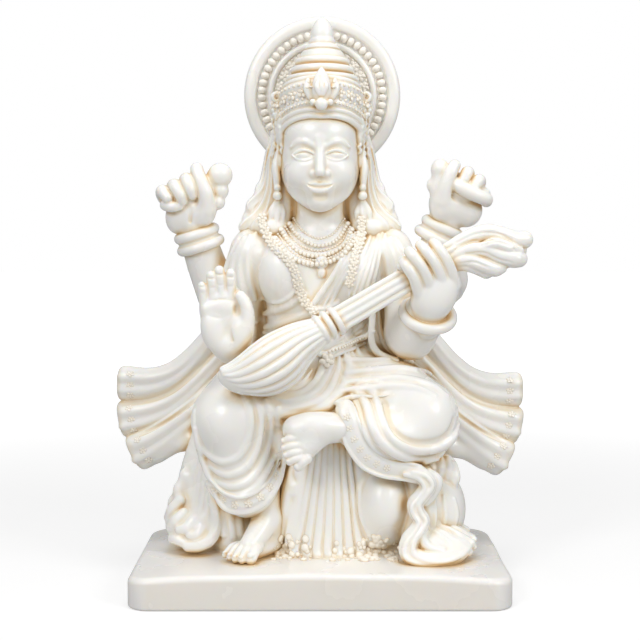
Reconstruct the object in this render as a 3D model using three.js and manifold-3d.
// A seated four-armed figure with a veena, a halo and flying scarf ends, cast in one piece with its
// plinth. Millimetres, +Z up, +Y to the back, origin at the middle of the plinth's underside.
//
// The figure is worked like clay: each limb, lock and fold is a stroke that is blended into a grid of
// distances, the grid is turned into a closed surface, and the surface is thinned to few triangles.
import * as THREE from 'three';
import { mergeVertices } from 'three/addons/utils/BufferGeometryUtils.js';
import { edgeTable, triTable } from 'three/addons/objects/MarchingCubes.js';
import Module from 'manifold-3d';

// Driving dimensions
const plinth = { width: 130, depth: 76, height: 12, corner: 8, edge: 2.5, camber: 1.3 };
const figureHeight = 191.5; // from the plinth's top to the halo's top
const figureSink = 2; // how far the figure's foot runs into the plinth
const halo = { radius: 27.6, thickness: 4.6, rim: 4.4, step: 1.5, ridge: 18.6, ridgeWidth: 1.8 };
const crown = { baseRadius: 12.6, tiers: 6, tierHeight: 2.75, bead: 1, tipRadius: 4.1, tipHeight: 9.5 };
const bangle = { radius: 7.9, wire: 1.9 };
const finger = { radius: 1.75 };
const veenaNeck = { halfWidth: 4.2, strings: 4 };
const colour = new THREE.Color(0.93, 0.9, 0.83);

// The places below are in millimetres from the plinth's top, for a figure of this height.
const carvedHeight = 191.5;
const clayCell = 1.1; // size of one cell of the clay's grid
const figureTriangles = 9000;
const castingTriangles = 9600;
const clayLow = [-80, -34, -4];
const clayHigh = [81, 36, 194];
const far = 1e3;

// A block of clay: distances to the surface on a grid, negative inside.
class Clay {
  constructor(low, high, cell) {
    this.low = low;
    this.cell = cell;
    this.count = low.map((l, axis) => Math.ceil((high[axis] - l) / cell) + 1);
    const [nx, ny, nz] = this.count;
    this.field = new Float32Array(nx * ny * nz).fill(far);
  }

  index(i, j, k) {
    return i + this.count[0] * (j + this.count[1] * k);
  }

  // The range of grid places that a box touches on each axis.
  range(low, high) {
    const first = low.map((l, a) => Math.max(0, Math.floor((l - this.low[a]) / this.cell)));
    const last = high.map((h, a) =>
      Math.min(this.count[a] - 1, Math.ceil((h - this.low[a]) / this.cell)));
    return [first, last];
  }

  // Blends a form's parts into the clay, or presses them out of it.
  work(parts, blend, pressOut = false) {
    const margin = blend + 2 * this.cell;
    const grow = (part) => this.range(part.low.map((v) => v - margin), part.high.map((v) => v + margin));
    const touched = new Map();
    for (const part of parts) {
      const [first, last] = grow(part);
      for (let k = first[2]; k <= last[2]; k++) {
        const z = this.low[2] + k * this.cell;
        for (let j = first[1]; j <= last[1]; j++) {
          const y = this.low[1] + j * this.cell;
          for (let i = first[0]; i <= last[0]; i++) {
            const n = this.index(i, j, k);
            const d = part.distance(this.low[0] + i * this.cell, y, z);
            const before = touched.get(n);
            if (before === undefined || d < before) touched.set(n, d);
          }
        }
      }
    }
    for (const [n, d] of touched) {
      const a = pressOut ? -this.field[n] : this.field[n];
      const overlap = Math.max(blend - Math.abs(a - d), 0) / blend;
      const joined = Math.min(a, d) - overlap * overlap * blend * 0.25;
      this.field[n] = pressOut ? Math.max(this.field[n], -joined) : joined;
    }
  }

  add(parts, blend = 1.5) {
    this.work(parts, blend);
  }

  // How far back the clay's front surface lies at a place seen from the front, or null where there is none.
  front(x, z) {
    const i = Math.round((x - this.low[0]) / this.cell);
    const k = Math.round((z - this.low[2]) / this.cell);
    if (i < 0 || k < 0 || i >= this.count[0] || k >= this.count[2]) return null;
    for (let j = 1; j < this.count[1]; j++) {
      const inside = this.field[this.index(i, j, k)];
      if (inside > 0) continue;
      const outside = this.field[this.index(i, j - 1, k)];
      return this.low[1] + (j - 1 + outside / (outside - inside)) * this.cell;
    }
    return null;
  }
}

// Forms, each a list of parts with a box and a distance

// One tapered piece of a stroke, flattened across the facing direction and cut off by a plane where it has one.
function segment(a, b, flat, facing, cut) {
  const along = [b[0] - a[0], b[1] - a[1], b[2] - a[2]];
  const lengthSquared = along[0] ** 2 + along[1] ** 2 + along[2] ** 2 || 1e-9;
  const most = Math.max(a[3], b[3]);
  return {
    low: [0, 1, 2].map((i) => Math.min(a[i], b[i]) - most),
    high: [0, 1, 2].map((i) => Math.max(a[i], b[i]) + most),
    distance(x, y, z) {
      const px = x - a[0], py = y - a[1], pz = z - a[2];
      const share = (px * along[0] + py * along[1] + pz * along[2]) / lengthSquared;
      const t = Math.min(1, Math.max(0, share));
      const radius = a[3] + t * (b[3] - a[3]);
      const dx = px - t * along[0], dy = py - t * along[1], dz = pz - t * along[2];
      const square = dx * dx + dy * dy + dz * dz;
      let d;
      if (flat === 1) d = Math.sqrt(square) - radius;
      else {
        const across = dx * facing[0] + dy * facing[1] + dz * facing[2];
        const aside = Math.max(0, square - across * across);
        const thin = radius * flat;
        const reach = Math.sqrt(aside / radius ** 2 + across ** 2 / thin ** 2);
        const slope = Math.sqrt(aside / radius ** 4 + across ** 2 / thin ** 4);
        d = slope < 1e-6 ? -thin : (reach * (reach - 1)) / slope;
      }
      if (!cut) return d;
      const [ux, uy, uz] = cut.away;
      return Math.max(d, (x - cut.point[0]) * ux + (y - cut.point[1]) * uy + (z - cut.point[2]) * uz);
    },
  };
}

// A smooth stroke through points [x, y, z, radius]. A flat end is cut square at the last point.
function stroke(points, { flat = 1, facing = [0, 1, 0], flatEnd = false, steps = 4 } = {}) {
  const curve = new THREE.CatmullRomCurve3(
    points.map((p) => new THREE.Vector3(p[0], p[1], p[2])), false, 'catmullrom');
  const count = (points.length - 1) * (points.length > 2 ? steps : 1);
  const samples = Array.from({ length: count + 1 }, (_, n) => {
    const place = (n / count) * (points.length - 1);
    const i = Math.min(points.length - 2, Math.floor(place));
    const radius = THREE.MathUtils.lerp(points[i][3], points[i + 1][3], place - i);
    return [...curve.getPoint(n / count).toArray(), radius];
  });
  const last = new THREE.Vector3(...samples[count]);
  const away = last.clone().sub(new THREE.Vector3(...samples[count - 1])).normalize();
  const cut = flatEnd ? { point: last.toArray(), away: away.toArray() } : null;
  return samples.slice(1).map((b, n) => segment(samples[n], b, flat, facing, cut));
}

// An ellipsoid, turned about the three axes by degrees.
function ball(centre, radii, turn = [0, 0, 0]) {
  const angles = turn.map(THREE.MathUtils.degToRad);
  const inverse = new THREE.Matrix4().makeRotationFromEuler(new THREE.Euler(...angles)).invert().elements;
  const most = Math.max(...radii);
  return [{
    low: centre.map((c) => c - most),
    high: centre.map((c) => c + most),
    distance(x, y, z) {
      const p = [x - centre[0], y - centre[1], z - centre[2]];
      let reach = 0, slope = 0;
      for (let axis = 0; axis < 3; axis++) {
        const q = inverse[axis] * p[0] + inverse[axis + 4] * p[1] + inverse[axis + 8] * p[2];
        reach += (q / radii[axis]) ** 2;
        slope += (q / radii[axis] ** 2) ** 2;
      }
      reach = Math.sqrt(reach);
      return slope < 1e-12 ? -Math.min(...radii) : (reach * (reach - 1)) / Math.sqrt(slope);
    },
  }];
}

// A ring of wire about an axis.
function ring(centre, axis, radius, wire) {
  const normal = new THREE.Vector3(...axis).normalize();
  const most = radius + wire;
  return [{
    low: centre.map((c) => c - most),
    high: centre.map((c) => c + most),
    distance(x, y, z) {
      const p = [x - centre[0], y - centre[1], z - centre[2]];
      const up = p[0] * normal.x + p[1] * normal.y + p[2] * normal.z;
      const out = Math.sqrt(Math.max(0, p[0] ** 2 + p[1] ** 2 + p[2] ** 2 - up * up));
      return Math.hypot(out - radius, up) - wire;
    },
  }];
}

// A stroke that lies on the clay as seen from the front, through points [x, z, radius], sunk in by a share
// of its radius.
function traced(clay, points, { sink = 0.35, spacing = 1.5 } = {}) {
  const curve = new THREE.CatmullRomCurve3(
    points.map((p) => new THREE.Vector3(p[0], p[2], p[1])), false, 'catmullrom');
  const count = Math.max(4, Math.round(curve.getLength() / spacing));
  const path = [];
  for (let n = 0; n <= count; n++) {
    const p = curve.getPoint(n / count);
    const depth = clay.front(p.x, p.z);
    if (depth !== null) path.push([p.x, depth + sink * p.y, p.z, p.y]);
  }
  const depths = path.map((p) => p[1]);
  const smooth = path.map((p, n) => {
    const near = depths.slice(Math.max(0, n - 2), n + 3);
    return [p[0], near.reduce((sum, d) => sum + d, 0) / near.length, p[2], p[3]];
  });
  return smooth.slice(1).map((b, n) => segment(smooth[n], b, 1, null, false));
}

// Folds side by side: each is a traced stroke between two edge paths of the same number of points.
function folds(clay, from, to, count, radius, options) {
  for (let n = 0; n < count; n++) {
    const share = count === 1 ? 0 : n / (count - 1);
    const path = from.map((p, i) => [
      THREE.MathUtils.lerp(p[0], to[i][0], share),
      THREE.MathUtils.lerp(p[1], to[i][1], share),
      radius * (i === 0 || i === from.length - 1 ? 0.6 : 1),
    ]);
    clay.add(traced(clay, path, options), 0.8);
  }
}

// The figure, from the ground up

function seat(clay) {
  clay.add(ball([0, 14, 28], [40, 19, 34]), 6);
  clay.add(ball([0, 12, 6], [48, 22, 14]), 6);
  clay.add(ball([22, 4, 15.5], [13, 14, 15]), 1.2); // the cushion under the crossed leg
  clay.add(ball([43, 10, 15], [9.5, 13, 17]), 1.5);
  clay.add(ball([47, 14, 8], [8, 12, 11]), 1.5);
  for (const [x, z] of [[39, 33], [44.5, 32], [49, 29]]) clay.add(ball([x, 5, z], [4, 10, 6]), 1.2);
}

function pleats(clay) {
  const count = 7;
  for (let n = 0; n < count; n++) {
    const share = n / (count - 1);
    const top = THREE.MathUtils.lerp(-2, 9.5, share);
    const foot = THREE.MathUtils.lerp(-9.5, 13.5, share);
    clay.add(stroke([
      [top, -10, 44, 1.5],
      [THREE.MathUtils.lerp(top, foot, 0.45), -10.5, 22, 2],
      [foot, -10, 2, 2.7],
    ]), 0.4);
  }
}

function standingLeg(clay) {
  clay.add(stroke([[-14, 8, 58, 15], [-24, -2, 55, 15], [-31, -10, 48.5, 13.8]]), 5);
  clay.add(stroke([[-31, -9, 47, 13.2], [-27, -8, 33, 12.5], [-25.5, -9.5, 22, 10.5]]), 3);
  clay.add(stroke([[-21.5, -9, 24, 7.6], [-19, -10, 13, 5.4], [-18.4, -8.5, 6, 4.8]]), 2);
  clay.add(stroke([[-17.6, -6, 5, 4.6], [-21, -13, 5.6, 4.6], [-26, -18.5, 3, 3.9]], { flat: 0.8, facing: [0, 0, 1] }), 2);
  const toes = [[-23.6, -22.3, 2], [-26.4, -22.2, 1.5], [-28.6, -21.2, 1.4], [-30.4, -19.8, 1.3], [-31.8, -18, 1.2]];
  for (const [x, y, r] of toes) clay.add(stroke([[x + 2.2, y + 4.5, 3.6, r], [x, y, 1.6, r]]), 0.5);
}

function crossedLeg(clay) {
  clay.add(stroke([[10, 9, 57, 15], [24, 0, 54, 15], [36, -5, 48.8, 13.2], [39.5, -4.5, 48, 12]]), 5);
  clay.add(stroke([[40, -9, 44, 8], [26, -14, 43, 8.5], [12, -16, 45.5, 6.5]]), 4);
  clay.add(stroke([[16, -14, 46.5, 6], [7, -18, 46, 4.8], [0, -20.5, 47, 5.3], [-5.6, -21.5, 46.6, 5]]), 1.6);
  clay.add(stroke([[0, -20, 45.5, 5.6], [-4.5, -22, 41, 5], [-7, -22.5, 37, 3.4]], { flat: 0.8 }), 1.6);
  const toes = [[-12.1, 43.8, 1.35], [-12, 41.1, 1.45], [-11.2, 38.5, 1.5], [-9.6, 36, 1.6], [-6.6, 33.8, 1.9]];
  for (const [x, z, r] of toes) clay.add(stroke([[x + 4.5, -23.4, z + 2, r], [x + r, -24.2, z, r]]), 0.5);
}

function torso(clay) {
  clay.add(ball([-1, 8, 62], [26, 16, 13]), 5);
  clay.add(stroke([[-3, 6, 66, 18], [-4, 5, 81, 15.2], [-2, 5, 94, 17.5], [0, 6, 103, 16]], { flat: 0.72 }), 4);
  clay.add(stroke([[-22, 6, 107, 8.5], [0, 6, 109.5, 8.5], [23, 6, 107, 8.5]]), 4);
  clay.add(stroke([[0, 6, 108, 10.5], [0, 5.5, 118, 9], [0, 4.5, 128, 9]]), 3);
  clay.add(ball([-14, -4.5, 98.5], [8, 8, 9]), 2.5);
  clay.add(ball([13, -4.5, 98.5], [8, 8, 9]), 2.5);
  clay.add(ball([-4, -4, 74], [12, 7, 9]), 4);
  clay.add(ball([-8, -4, 54], [24, 15, 10]), 4);
  for (const side of [-1, 1]) clay.add(ball([24 * side, 13, 84], [10, 7, 20]), 3);
}

function head(clay) {
  clay.add(ball([0, 4, 143], [14.6, 15.5, 17]), 3);
  clay.add(ball([0, -1.5, 136], [12.2, 11, 14]), 3);
  clay.add(ball([0, -8.2, 126.6], [5, 4.5, 4.6]), 3);
  clay.add(ball([-7, -6, 133], [5.2, 4.6, 5.5]), 3);
  clay.add(ball([7, -6, 133], [5.2, 4.6, 5.5]), 3);
  clay.add(stroke([[0, -11.4, 144, 1.2], [0, -13.2, 138, 1.6], [0, -14.2, 135.3, 1.9]]), 1.5);
  clay.add(stroke([[-4, -11.5, 130.8, 0.9], [0, -13, 130.6, 1.2], [4, -11.5, 130.8, 0.9]]), 0.8);
  clay.add(stroke([[-2.6, -11.6, 129.2, 1], [0, -12.8, 128.6, 1.4], [2.6, -11.6, 129.2, 1]]), 0.8);
  for (const side of [-1, 1]) {
    clay.add(ball([5.8 * side, -9.6, 141], [3.4, 2.4, 1.9]), 0.8);
    clay.add(stroke([[2.2 * side, -12, 144.6, 0.7], [6 * side, -11.9, 146.4, 0.9], [10.5 * side, -9, 144.8, 0.6]]), 1.5);
  }
}

// The diadem: arcs about the brow, each from ear to ear.
function diadem(clay) {
  const rows = 5;
  for (let row = 0; row < rows; row++) {
    const share = row / (rows - 1);
    const arc = [];
    for (let n = -4; n <= 4; n++) {
      const angle = (n / 4) * THREE.MathUtils.degToRad(104);
      const drop = (n / 4) ** 2;
      const z = THREE.MathUtils.lerp(155.2 - 9.5 * drop, 165 - 3 * drop, share);
      const radius = 15.2 - 2 * share;
      arc.push([0.5 + radius * Math.sin(angle), 2.8 - (radius - 1) * Math.cos(angle), z, row % 2 ? 1.9 : 2.2]);
    }
    clay.add(stroke(arc, { steps: 3 }), 0.8);
  }
  clay.add(stroke([[0.6, 6.5, 160, 10], [0.6, 9.5, 174, 7], [0.6, 12, 184, 3.4]]), 2);
  clay.add(stroke([[0.4, -12.6, 157, 2.6], [0.4, -12.6, 163, 3.2], [0.4, -11, 170, 0.9]], { flat: 0.8 }), 0.6);
  for (const side of [-1, 1]) {
    clay.add(stroke([[4.6 * side, -12.4, 160, 1.8], [5 * side, -11.4, 166.8, 0.8]]), 0.5);
    clay.add(ball([16.6 * side, -1, 152], [2.6, 3.4, 4.4]), 0.8);
    clay.add(ball([16.4 * side, 0.5, 145.5], [2.2, 2.8, 3.6]), 0.8);
  }
}

function hair(clay) {
  clay.add(ball([0, 11, 128], [19, 9, 22]), 4);
  clay.add(stroke([[0, 14, 120, 15], [0, 16, 100, 14], [0, 17, 84, 9]], { flat: 0.55 }), 4);
  for (const side of [-1, 1]) {
    const lock = (points, r) => clay.add(stroke(points.map(([x, y, z]) => [x * side, y, z, r])), 0.9);
    lock([[16.5, 6, 150], [18.3, 8, 140], [19.5, 9, 133], [22.5, 9, 126.5], [21.5, 8, 121], [26, 6, 117.5], [26, 5, 113]], 2.4);
    lock([[16, 3, 147], [17, 5, 138], [17.4, 6, 131], [20.5, 6, 124], [19.6, 5, 118], [23, 3, 113.5]], 2.2);
    lock([[14.6, 1, 142], [15.4, 2, 134], [14.6, 3, 127], [17, 2, 120], [16, 1, 114]], 2);
    clay.add(ball([15.4 * side, -1, 126], [1.7, 1.7, 3]), 0.6);
    clay.add(ball([15.8 * side, -1.4, 119], [2.2, 2.2, 3.4]), 0.6);
  }
}

// One raised hand at the back. Its places are for the figure's right hand, at the photo's left.
function rearRightArm(clay) {
  clay.add(stroke([[-20, 10, 105, 9], [-30, 14, 92, 8.4], [-34, 15, 84, 8], [-39.5, 13, 97, 7.4], [-43.8, 10, 111, 6.6], [-45.5, 9, 117, 6]]), 2.5);
  clay.add(ball([-45, 6.5, 121.5], [6.8, 5.5, 6.6]), 1.6);
  clay.add(ball([-50.8, 7.5, 119.5], [5, 5, 6.6], [0, 20, 0]), 1.6);
  clay.add(stroke([[-42.5, 3.5, 124, 3.1], [-43, 2.4, 131.5, 2.5], [-44.4, 3, 137.6, 2.3]]), 0.8);
  const curled = [[-55, 129.2, -54.8, 124.2], [-50.6, 130.6, -50.2, 125.4], [-47, 133, -45.4, 127.4]];
  for (const [x, z, tipX, tipZ] of curled) {
    clay.add(stroke([[x + 2, 8.5, z - 3, 2.2], [x, 5, z, 2.4], [tipX, 2.4, tipZ, 2.2]]), 0.6);
  }
  clay.add(stroke([[-39.5, 6, 124, 3.4], [-36.6, 5, 129, 3.6], [-35.2, 5, 134.4, 4.5]]), 1.6);
}

function rearLeftArm(clay) {
  clay.add(stroke([[20, 10, 105, 9], [33, 14, 96, 8.4], [44, 15, 91.5, 7.4]]), 2.5);
  clay.add(stroke([[44, 15, 92, 7.4], [43, 12.5, 103, 7.2], [44, 10, 114, 6.6], [46, 9, 119, 6]]), 2.5);
  clay.add(ball([45.6, 6, 124.8], [6.4, 5.6, 7.2]), 1.6);
  clay.add(ball([52.6, 7, 122.8], [6.4, 5.2, 6.2], [0, -25, 0]), 1.6);
  clay.add(stroke([[44.5, 3.5, 127, 3], [47.2, 2, 133, 2.4], [48.6, 3, 138, 1.9]]), 0.8);
  clay.add(ball([43.6, 4.6, 134.8], [3.1, 3.1, 3.6]), 1);
  clay.add(ball([40, 5, 130.4], [1.9, 2.2, 2.4]), 1);
  for (const [x, z] of [[53, 134.6], [56.6, 131.4]]) {
    clay.add(stroke([[x - 2, 8.5, z - 4, 2.2], [x, 4.5, z, 2.6], [x - 1.5, 2.4, z - 4, 2.2]]), 0.6);
  }
  clay.add(stroke([[48.4, 2.4, 129.4, 2.8], [54, 1.8, 127, 2.8], [59.4, 3, 125, 2.7]]), 0.7);
}

function bangles(clay) {
  const wrists = [
    [[-44.2, 10, 112.6], [-0.3, -0.1, 0.95], 1], [[-42.6, 10.8, 108.3], [-0.3, -0.1, 0.95], 1.05],
    [[44.4, 10, 116.2], [0.42, -0.1, 0.9], 0.95], [[42.2, 10.8, 112], [0.42, -0.1, 0.9], 1],
    [[38, -10, 86.4], [0.2, -0.5, 0.84], 1.06],
  ];
  for (const [centre, axis, share] of wrists) {
    clay.add(ring(centre, axis, bangle.radius * share - bangle.wire / 2, bangle.wire), 0.4);
  }
}

function blessingArm(clay) {
  clay.add(stroke([[-23, 5, 106, 9.4], [-29, 6, 92, 8.4], [-31, 7, 78, 7.4]]), 2.5);
  clay.add(stroke([[-31, 7, 77, 7.2], [-31, -3, 74, 6.6], [-31, -11, 74, 5.6]]), 2);
  clay.add(stroke([[-31, -13.5, 76, 6.8], [-32.4, -15.5, 85, 8.4], [-33.2, -15.5, 90, 7.8]], { flat: 0.5 }), 1.6);
  clay.add(ball([-30.6, -14, 75.4], [7.2, 4.6, 5]), 1.6);
  const tips = [[-39, -39.6, 97], [-35.9, -36.6, 100.6], [-32.4, -33.8, 102.6], [-29, -30, 101.4]];
  for (const [x, tipX, tipZ] of tips) {
    clay.add(stroke([[x, -15.8, 88, finger.radius + 0.25], [(x + tipX) / 2, -16.6, 94.5, finger.radius],
      [tipX, -17.2, tipZ - finger.radius, finger.radius - 0.25]]), 0.45);
  }
  clay.add(stroke([[-26.6, -15.6, 79, 3.2], [-24.2, -17.6, 86.5, 2.3], [-25, -18.4, 92.4, 1.9]]), 0.8);
}

function playingArm(clay) {
  clay.add(stroke([[24, 5, 106, 9.4], [31, 5, 92, 8.6], [32.5, 2, 79, 8.2]]), 2.5);
  clay.add(stroke([[32, 1, 78, 8.4], [36, -5, 80.5, 7.2], [39, -9, 85, 5.8], [39.5, -12, 91, 5.6]]), 2);
  clay.add(ball([38.4, -15, 93.4], [8.2, 5, 9.6], [0, 12, 0]), 1.6);
  const knuckles = [[32.4, 94.6], [35.4, 98.2], [39.2, 100.4], [43, 101.4]];
  const tips = [[27.9, 102.4], [29.7, 106], [33.4, 107.8], [38, 108.4]];
  knuckles.forEach(([x, z], n) => {
    const [tipX, tipZ] = tips[n];
    clay.add(stroke([[x + 0.6, -17.6, z - 3, 2.3], [x - 0.6, -20.4, z + 1, 2.1],
      [(x + tipX) / 2, -20.8, (z + tipZ) / 2 + 1, 1.9], [tipX, -18.8, tipZ - 0.6, 1.6]]), 0.45);
  });
}

// The veena: a ribbed gourd, a collar, a neck of parallel bars and a leafy head.
function veena(clay) {
  const collar = new THREE.Vector3(0.3, -22, 80.7);
  const tip = new THREE.Vector3(46.6, -12, 108.4);
  const along = tip.clone().sub(collar).normalize();
  const across = new THREE.Vector3(0, 1, 0).cross(along).normalize();
  const at = (share, side) => collar.clone().lerp(tip, share).addScaledVector(across, side).toArray();
  clay.add(stroke([[...at(0, 0), 3.6], [...at(1, 0), 3.4]], { flat: 0.8 }), 0.6);
  for (let n = 0; n < veenaNeck.strings; n++) {
    const side = THREE.MathUtils.lerp(-1, 1, n / (veenaNeck.strings - 1)) * (veenaNeck.halfWidth - 1.1);
    const lift = (p) => [p[0], p[1] - 2.4, p[2]];
    clay.add(stroke([[...lift(at(0, side)), 1.3], [...lift(at(1, side)), 1.3]]), 0.3);
  }
  for (const share of [0, 0.05, 0.1]) {
    clay.add(ring(at(share, 0), along.toArray(), 4, 1.4), 0.3);
  }

  // The gourd's axis and girth, from the collar to its foot, and ribs about it.
  const axis = [[0.3, -22, 80.7, 3.8], [-6, -22.5, 76, 6.4], [-14, -23, 70.4, 9], [-22, -23, 67, 9], [-28.5, -23, 66.4, 6], [-31.8, -23.5, 67, 2.6]];
  clay.add(stroke(axis), 1);
  const ribs = 9;
  const down = new THREE.Vector3(across.x, 0, across.z).multiplyScalar(-1);
  for (let n = 0; n < ribs; n++) {
    const angle = THREE.MathUtils.degToRad(-100 + (200 * n) / (ribs - 1));
    clay.add(stroke(axis.map(([x, y, z, r]) => {
      const side = Math.sin(angle) * r * 0.94;
      return [x + down.x * side, y - Math.cos(angle) * r * 0.94, z + down.z * side, 0.6 + r * 0.12];
    })), 0.35);
  }

  const leaves = [
    [[44, -12, 109.6, 2], [53, -10.5, 113.4, 2.6], [63, -9.5, 114.6, 2.8], [68.4, -9, 113.4, 2]],
    [[45, -12.5, 108.4, 2], [54, -11.5, 111.2, 2.4], [64, -10, 111.4, 3], [72, -8, 111, 3.2]],
    [[46, -13, 107, 2], [54, -12, 108.6, 2.4], [62, -11, 108.8, 2.6], [68.5, -9, 105.6, 3]],
    [[45.5, -12.5, 105.4, 2], [52, -11.5, 106, 2.4], [59, -10.5, 105, 2.6], [65, -9.5, 102.6, 2.6]],
    [[45, -12, 104, 1.8], [52, -11, 103.6, 2.2], [58, -10, 100.4, 2.6], [62, -9, 99.4, 2.4]],
  ];
  for (const leaf of leaves) clay.add(stroke(leaf, { flat: 0.85 }), 0.5);
}

// A scarf end of three flutes that flies out to one side.
function scarfEnd(clay, side, drop) {
  const flutes = [
    [[30, 15, 88, 3.4], [41.2, 14, 73, 4.2], [47.8, 15, 65.4, 4.8], [54.8, 16, 60.2, 5.4], [63.5, 17, 57.4, 6], [75, 18, 57.6, 6.9]],
    [[28, 16, 76, 4], [39, 15, 64.5, 4.6], [46.6, 15, 56.5, 5.2], [53.8, 16, 50.6, 5.6], [62.5, 17, 46.6, 6.2], [75, 18, 44, 7.2]],
    [[28, 14, 64, 4], [38, 13, 55, 5], [46, 13, 47, 6], [54, 14, 41, 6.4], [61, 15, 36, 6.8], [69.4, 16, 31.2, 7.4]],
  ];
  flutes.forEach((flute, n) => {
    const points = flute.map(([x, y, z, r], i) => [x * side, y, z - (drop * i) / (flute.length - 1), r]);
    clay.add(stroke(points, { flat: 0.62, flatEnd: true }), n ? 0.6 : 1);
  });
}

// Cloth that hangs beside the seat and gathers on the plinth, at the figure's right.
function hangingCloth(clay) {
  for (let n = 0; n < 5; n++) {
    const share = n / 4;
    clay.add(stroke([
      [-33 - 6 * share, 4 + 3 * share, 46 - 8 * share, 3],
      [-37 - 10 * share, 2 + 4 * share, 26, 3.2],
      [-37 - 13 * share, 1 + 4 * share, 10, 3.2],
    ]), 0.7);
  }
  const hem = [[-35, -5, 22, 2.2], [-35.5, -5, 12, 2.4], [-38, -5, 5, 2.6], [-43.5, -4, 2.6, 2.8], [-49, -2, 3, 3], [-53, 1, 6.5, 3], [-54.5, 4, 12, 2.8]];
  clay.add(stroke(hem), 0.8);
  for (const [x, z] of [[-41, 6], [-46, 6.6], [-50.6, 8.4]]) clay.add(ball([x, -2, z], [3, 4, 4]), 0.8);
}

// The sash that falls in curls from the lap to the plinth, at the figure's left.
function sash(clay) {
  clay.add(stroke([[10.2, -19, 56, 2.8], [10.8, -21, 46, 3.2], [15, -20, 36.5, 3.2], [26, -17, 32.5, 2.8], [35, -16, 30.4, 2.6],
    [38.6, -16, 26, 2.5], [34.6, -16.5, 21.4, 2.3], [35.8, -17, 16, 2.3], [31.6, -18, 10.6, 2.6], [29.4, -20, 5, 2.9],
    [33.6, -22, 1.8, 3], [41.4, -22, 1.6, 3.2], [49, -17, 2.4, 3.2], [53, -10, 3.4, 3]]), 0.8);
  clay.add(stroke([[40, -8, 8, 6], [47, -6, 5, 6]]), 2);
  for (let n = 0; n < 5; n++) {
    const share = n / 4;
    clay.add(stroke([[38 + 4 * share, -10 + 4 * share, 13, 1.6], [43 + 9 * share, -15 + 13 * share, 5 + 3 * share, 2]]), 0.6);
  }
}

// Folds that lie on the body, seen from the front.
function drapery(clay) {
  // the dhoti over the standing leg, in hanging curves, and its hem
  for (let n = 0; n < 4; n++) {
    const drop = 6.2 * n;
    clay.add(traced(clay, [[-42 + 0.8 * n, 44 - drop, 0.9], [-38, 33.5 - drop * 0.78, 1.6], [-29 + 0.6 * n, 28.5 - drop * 0.6, 1.8],
      [-20, 33 - drop * 0.72, 1.6], [-14.5, 45 - drop, 0.9]]), 0.9);
  }
  clay.add(traced(clay, [[-37.5, 23, 1.8], [-33, 18, 2.2], [-27, 16.6, 2.2], [-20.6, 18.4, 2.2], [-15.4, 25, 2], [-14, 36, 1.6]]), 0.6);
  folds(clay, [[-19, 56], [-15, 44], [-16, 34]], [[-10, 50], [-9, 42], [-12, 33]], 3, 1.5);

  // the lap, under the veena
  folds(clay, [[-29, 62], [-18, 55.5], [-4, 52.5], [7, 58], [10, 70]], [[-27, 57.5], [-17, 50.5], [-3, 47.5], [11, 53], [14, 70]], 3, 1.9);

  // the crossed thigh: folds from the waist over it, and rolls under the knee
  folds(clay, [[11, 62], [22, 66], [33, 64.5], [42, 58]], [[9, 53.5], [18, 57.5], [28, 59.5], [38, 58.5]], 4, 1.5);
  for (let n = 0; n < 3; n++) {
    const out = 3.4 * n;
    clay.add(traced(clay, [[18 - out * 0.7, 56, 1.2], [20.5 - out * 0.7, 45 - out * 0.7, 1.8], [28, 38 - out, 2],
      [38, 36.6 - out, 2], [47, 41 - out, 1.8], [50 + 0.2 * n, 48 - out, 1.2]]), 0.9);
  }

  // the sari's end across the breast, the sleeves and the belt
  folds(clay, [[14, 112], [8, 98], [0, 86]], [[27, 108], [22, 95], [9, 84]], 6, 1.4);
  folds(clay, [[-24, 112], [-27, 100], [-25, 88]], [[-33, 104], [-34, 97], [-31, 90]], 4, 1.4);
  folds(clay, [[-17, 84], [-10, 84.4], [-5, 87]], [[-16, 79], [-9, 79], [-4, 82]], 2, 1.6);
  clay.add(traced(clay, [[-18, 73, 1.4], [-2, 71.5, 1.4], [15, 76, 1.4]]), 0.6);

  // necklaces and the long garland
  clay.add(traced(clay, [[-9.5, 114, 1.4], [-5, 110.6, 1.6], [0, 109.6, 1.7], [5, 110.6, 1.6], [9.5, 114, 1.4]]), 0.5);
  clay.add(traced(clay, [[-11.5, 113, 1.4], [-6.5, 107, 1.6], [0, 105.4, 1.8], [6.5, 107, 1.6], [11.5, 113, 1.4]]), 0.5);
  clay.add(traced(clay, [[-17, 114, 1.3], [-13, 105, 1.4], [-8, 99, 1.4], [-6.4, 90, 1.4], [-1, 83, 1.4]]), 0.5);
  clay.add(ball([0.3, clay.front(0.3, 102) ?? -8, 102], [2.2, 1.6, 2.4]), 0.6);
}

function sculpt() {
  const clay = new Clay(clayLow, clayHigh, clayCell);
  seat(clay);
  scarfEnd(clay, -1, 0);
  scarfEnd(clay, 1, 2.5);
  hangingCloth(clay);
  pleats(clay);
  standingLeg(clay);
  crossedLeg(clay);
  torso(clay);
  rearRightArm(clay);
  rearLeftArm(clay);
  hair(clay);
  head(clay);
  diadem(clay);
  drapery(clay);
  sash(clay);
  blessingArm(clay);
  playingArm(clay);
  veena(clay);
  bangles(clay);
  return clay;
}

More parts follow.
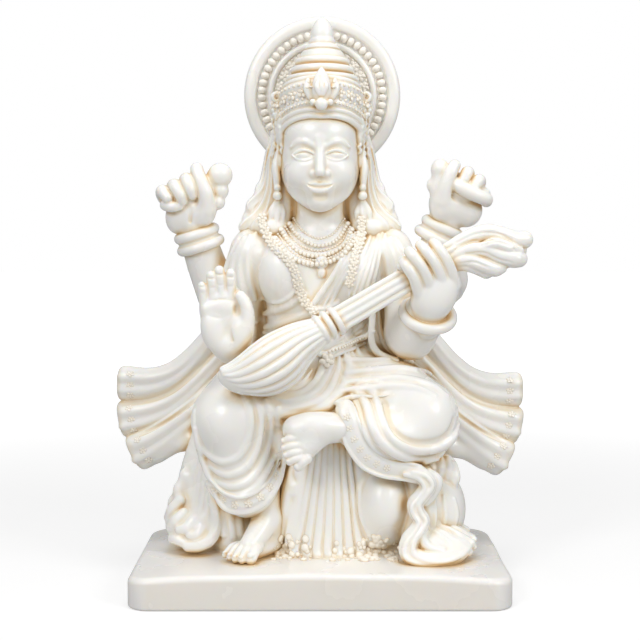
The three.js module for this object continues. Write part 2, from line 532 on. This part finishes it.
// The surface of the clay as shared vertices and triangles, by marching cubes.
function surfaceOf(clay) {
  const { field, count, cell, low } = clay;
  const corners = [[0, 0, 0], [1, 0, 0], [1, 1, 0], [0, 1, 0], [0, 0, 1], [1, 0, 1], [1, 1, 1], [0, 1, 1]];
  const edges = [[0, 1], [1, 2], [3, 2], [0, 3], [4, 5], [5, 6], [7, 6], [4, 7], [0, 4], [1, 5], [2, 6], [3, 7]];
  const offsets = corners.map(([i, j, k]) => clay.index(i, j, k));
  const vertexOf = new Map();
  const positions = [];
  const faces = [];

  function vertexOn(edge, i, j, k, first) {
    const [from, to] = edges[edge];
    const axis = corners[to].findIndex((c, a) => c !== corners[from][a]);
    const key = (first + offsets[from]) * 3 + axis;
    if (!vertexOf.has(key)) {
      const a = field[first + offsets[from]], b = field[first + offsets[to]];
      const place = [i, j, k].map((c, n) => c + corners[from][n]);
      place[axis] += THREE.MathUtils.clamp(a / (a - b), 0.02, 0.98);
      vertexOf.set(key, positions.length / 3);
      positions.push(...place.map((c, n) => low[n] + c * cell));
    }
    return vertexOf.get(key);
  }

  // The clay ends inside its grid, so the surface is closed.
  for (let j = 0; j < count[1]; j++) for (let i = 0; i < count[0]; i++) field[clay.index(i, j, 0)] = far;

  for (let k = 0; k < count[2] - 1; k++) {
    for (let j = 0; j < count[1] - 1; j++) {
      for (let i = 0; i < count[0] - 1; i++) {
        const first = clay.index(i, j, k);
        let pattern = 0;
        for (let c = 0; c < 8; c++) if (field[first + offsets[c]] > 0) pattern |= 1 << c;
        if (!edgeTable[pattern]) continue;
        for (let t = pattern * 16; triTable[t] !== -1; t += 3) {
          faces.push([0, 1, 2].map((n) => vertexOn(triTable[t + n], i, j, k, first)));
        }
      }
    }
  }
  return { positions, faces };
}

// Thins a closed mesh by collapsing the edge that moves the surface least, over and over.
function thin({ positions, faces }, wanted) {
  const count = positions.length / 3;
  const point = Array.from({ length: count }, (_, v) => positions.slice(3 * v, 3 * v + 3));
  const facesOf = Array.from({ length: count }, () => new Set());
  const quadric = Array.from({ length: count }, () => new Float64Array(10));
  const version = new Uint32Array(count);
  const alive = faces.map(() => true);
  let left = faces.length;

  const minus = (a, b) => [a[0] - b[0], a[1] - b[1], a[2] - b[2]];
  const crossed = (a, b) => [a[1] * b[2] - a[2] * b[1], a[2] * b[0] - a[0] * b[2], a[0] * b[1] - a[1] * b[0]];
  const dot = (a, b) => a[0] * b[0] + a[1] * b[1] + a[2] * b[2];
  const normalOf = (a, b, c) => crossed(minus(b, a), minus(c, a));

  faces.forEach((face, f) => {
    const [a, b, c] = face.map((v) => point[v]);
    const n = normalOf(a, b, c);
    const size = Math.sqrt(dot(n, n)) || 1e-12;
    const [x, y, z] = n.map((v) => v / size);
    const d = -(x * a[0] + y * a[1] + z * a[2]);
    const plane = [x * x, x * y, x * z, x * d, y * y, y * z, y * d, z * z, z * d, d * d];
    for (const v of face) {
      facesOf[v].add(f);
      for (let i = 0; i < 10; i++) quadric[v][i] += plane[i] * size;
    }
  });

  const errorAt = (q, [x, y, z]) => q[0] * x * x + 2 * q[1] * x * y + 2 * q[2] * x * z + 2 * q[3] * x +
    q[4] * y * y + 2 * q[5] * y * z + 2 * q[6] * y + q[7] * z * z + 2 * q[8] * z + q[9];

  // The cheapest place for the vertex that two become.
  function bestPlace(u, v) {
    const q = quadric[u].map((value, i) => value + quadric[v][i]);
    const middle = point[u].map((c, i) => (c + point[v][i]) / 2);
    const places = [middle, point[u], point[v]];
    const matrix = new THREE.Matrix3().set(q[0], q[1], q[2], q[1], q[4], q[5], q[2], q[5], q[7]);
    const scale = q[0] + q[4] + q[7];
    if (Math.abs(matrix.determinant()) > 1e-5 * scale ** 3) {
      const solved = new THREE.Vector3(-q[3], -q[6], -q[8]).applyMatrix3(matrix.invert()).toArray();
      const edge = minus(point[u], point[v]);
      const away = minus(solved, middle);
      if (dot(away, away) < dot(edge, edge)) places.unshift(solved);
    }
    const costs = places.map((p) => errorAt(q, p));
    const n = costs.indexOf(Math.min(...costs));
    const edge = minus(point[u], point[v]);
    return { place: places[n], cost: Math.max(0, costs[n]) + 1e-6 * dot(edge, edge) };
  }

  const neighbours = (v) => {
    const found = new Set();
    for (const f of facesOf[v]) for (const w of faces[f]) if (w !== v) found.add(w);
    return found;
  };

  // A heap of edges, the cheapest first.
  const heap = [];
  const swap = (a, b) => ([heap[a], heap[b]] = [heap[b], heap[a]]);
  function push(u, v) {
    const { place, cost } = bestPlace(u, v);
    heap.push({ u, v, place, cost, uVersion: version[u], vVersion: version[v] });
    for (let n = heap.length - 1; n > 0;) {
      const up = (n - 1) >> 1;
      if (heap[up].cost <= heap[n].cost) break;
      swap(up, n);
      n = up;
    }
  }
  function pop() {
    const top = heap[0];
    const last = heap.pop();
    if (heap.length) heap[0] = last;
    for (let n = 0; ;) {
      let small = n;
      for (const m of [2 * n + 1, 2 * n + 2]) if (m < heap.length && heap[m].cost < heap[small].cost) small = m;
      if (small === n) break;
      swap(small, n);
      n = small;
    }
    return top;
  }

  // True if no face about v turns over when v moves.
  function keepsFaces(v, other, place) {
    for (const f of facesOf[v]) {
      if (faces[f].includes(other)) continue;
      const before = faces[f].map((w) => point[w]);
      const after = faces[f].map((w) => (w === v ? place : point[w]));
      const a = normalOf(...before), b = normalOf(...after);
      const size = Math.sqrt(dot(a, a) * dot(b, b));
      if (dot(b, b) < 1e-6) return false;
      if (dot(a, a) > 1e-8 && dot(a, b) < 0.3 * size) return false;
    }
    return true;
  }

  for (let v = 0; v < count; v++) for (const w of neighbours(v)) if (v < w) push(v, w);
  while (left > wanted && heap.length) {
    const { u, v, place, uVersion, vVersion } = pop();
    if (uVersion !== version[u] || vVersion !== version[v]) continue;
    if (!facesOf[u].size || !facesOf[v].size) continue;
    const around = neighbours(u);
    const common = [...neighbours(v)].filter((w) => around.has(w));
    if (common.length !== 2 || !keepsFaces(u, v, place) || !keepsFaces(v, u, place)) continue;
    point[u] = place;
    for (let i = 0; i < 10; i++) quadric[u][i] += quadric[v][i];
    for (const f of facesOf[v]) {
      if (faces[f].includes(u)) {
        alive[f] = false;
        left -= 1;
        for (const w of faces[f]) if (w !== v) facesOf[w].delete(f);
      } else {
        faces[f] = faces[f].map((w) => (w === v ? u : w));
        facesOf[u].add(f);
      }
    }
    facesOf[v].clear();
    version[u] += 1;
    for (const w of neighbours(u)) push(u, w);
  }
  return { point, faces: faces.filter((_, f) => alive[f]) };
}

// Solids and their joining

const wasm = await Module();
wasm.setup();

function solidOf(geometry) {
  return new wasm.Manifold(new wasm.Mesh({
    numProp: 3,
    vertProperties: geometry.attributes.position.array,
    triVerts: new Uint32Array(geometry.index.array),
  }));
}

function geometryOf({ point, faces }) {
  const geometry = new THREE.BufferGeometry();
  geometry.setAttribute('position', new THREE.BufferAttribute(new Float32Array(point.flat()), 3));
  geometry.setIndex(faces.flat());
  geometry.computeVertexNormals();
  return geometry;
}

// A solid's surface as shared vertices and triangles.
function skinOf(solid) {
  const mesh = solid.getMesh();
  const positions = [];
  for (let v = 0; v < mesh.numVert; v++) {
    positions.push(...mesh.vertProperties.subarray(v * mesh.numProp, v * mesh.numProp + 3));
  }
  const faces = Array.from({ length: mesh.numTri }, (_, f) => [...mesh.triVerts.subarray(3 * f, 3 * f + 3)]);
  return { positions, faces };
}

// One closed mesh from a geometry class's faces, which meet at equal places.
function closed(geometry) {
  geometry.deleteAttribute('normal');
  geometry.deleteAttribute('uv');
  const merged = mergeVertices(geometry, 1e-4);
  const old = merged.index.array;
  const kept = [];
  for (let f = 0; f < old.length; f += 3) {
    const [a, b, c] = old.slice(f, f + 3);
    if (a !== b && b !== c && c !== a) kept.push(a, b, c);
  }
  merged.setIndex(kept);
  return merged;
}

// The figure at its height, its foot sunk into the plinth.
function figureSolid() {
  const geometry = geometryOf(thin(surfaceOf(sculpt()), figureTriangles));
  const scale = figureHeight / carvedHeight;
  geometry.scale(scale, scale, scale).translate(0, 0, plinth.height);
  const solid = solidOf(geometry);
  return solid.trimByPlane([0, 0, 1], plinth.height - figureSink);
}

// The plinth: a slab with round corners and softened edges. Its top rises a little toward the middle.
function plinthSolid() {
  const { width, depth, height, corner, edge, camber } = plinth;
  const w = width / 2 - edge, d = depth / 2 - edge, r = corner - edge;
  const outline = new THREE.Shape();
  const spans = 8;
  const along = (n) => THREE.MathUtils.lerp(-w + r, w - r, n / spans);
  outline.moveTo(along(0), -d);
  for (let n = 1; n <= spans; n++) outline.lineTo(along(n), -d);
  outline.absarc(w - r, -d + r, r, -Math.PI / 2, 0);
  outline.absarc(w - r, d - r, r, 0, Math.PI / 2);
  for (let n = spans - 1; n >= 0; n--) outline.lineTo(along(n), d);
  outline.absarc(-w + r, d - r, r, Math.PI / 2, Math.PI);
  outline.absarc(-w + r, -d + r, r, Math.PI, 1.5 * Math.PI);
  const slab = new THREE.ExtrudeGeometry(outline, {
    depth: height - 2 * edge, bevelThickness: edge, bevelSize: edge, bevelSegments: 3, curveSegments: 4,
  });
  slab.translate(0, 0, edge);
  const place = slab.attributes.position;
  for (let n = 0; n < place.count; n++) {
    if (place.getZ(n) < height / 2) continue;
    const fall = camber * (place.getX(n) / (width / 2)) ** 2;
    place.setZ(n, place.getZ(n) - fall);
  }
  return solidOf(closed(slab));
}

// The halo: a disc turned about a front-to-back axis, with a rounded rim, a recess and a ridge.
function haloSolid() {
  const { radius, thickness, rim, step, ridge, ridgeWidth } = halo;
  const back = thickness / 2, front = -thickness / 2;
  const profile = [[0, front + step], [ridge - ridgeWidth / 2, front + step], [ridge, front + step - 1],
    [ridge + ridgeWidth / 2, front + step], [radius - rim - 0.8, front + step], [radius - rim, front],
    [radius - 1.2, front], [radius, front + 1.2], [radius, back - 1.2], [radius - 1.2, back], [0, back]];
  const turned = new THREE.LatheGeometry(profile.map(([r, y]) => new THREE.Vector2(r, y)), 48);
  turned.translate(0.4, 16.5, plinth.height + figureHeight - radius);
  return solidOf(closed(turned));
}

// The crown: tiers of turned beads that narrow upward, and a pointed tip.
function crownSolid() {
  const { baseRadius, tiers, tierHeight, bead, tipRadius, tipHeight } = crown;
  const profile = [[0, 0], [baseRadius, 0]];
  for (let n = 0; n < tiers; n++) {
    const radius = THREE.MathUtils.lerp(baseRadius, tipRadius + bead, (n / (tiers - 1)) ** 0.9);
    const z = 2 + n * tierHeight;
    profile.push([radius - bead, z - 0.5 * tierHeight], [radius, z - 0.2 * tierHeight], [radius, z + 0.2 * tierHeight]);
  }
  const top = 2 + (tiers - 0.5) * tierHeight;
  profile.push([tipRadius - 0.4, top], [tipRadius, top + 0.25 * tipHeight], [tipRadius * 0.8, top + 0.55 * tipHeight],
    [tipRadius * 0.35, top + 0.88 * tipHeight], [0, top + tipHeight]);
  const turned = new THREE.LatheGeometry(profile.map(([r, z]) => new THREE.Vector2(r, z)), 24);
  turned.rotateX(Math.PI / 2).translate(0.8, 5, plinth.height + figureHeight - 2.6 - top - tipHeight);
  return solidOf(closed(turned));
}

const material = new THREE.MeshStandardMaterial({ color: colour, roughness: 0.35, metalness: 0 });
const solids = [plinthSolid(), figureSolid(), haloSolid(), crownSolid()];
// Only the outer skin is kept, so no pocket is sealed inside.
const skins = wasm.Manifold.union(solids).decompose().sort((a, b) => b.volume() - a.volume());
const casting = new THREE.Mesh(geometryOf(thin(skinOf(skins[0]), castingTriangles)), material);
casting.name = 'saraswati_figure';

const group = new THREE.Group();
group.add(casting);
export default group;
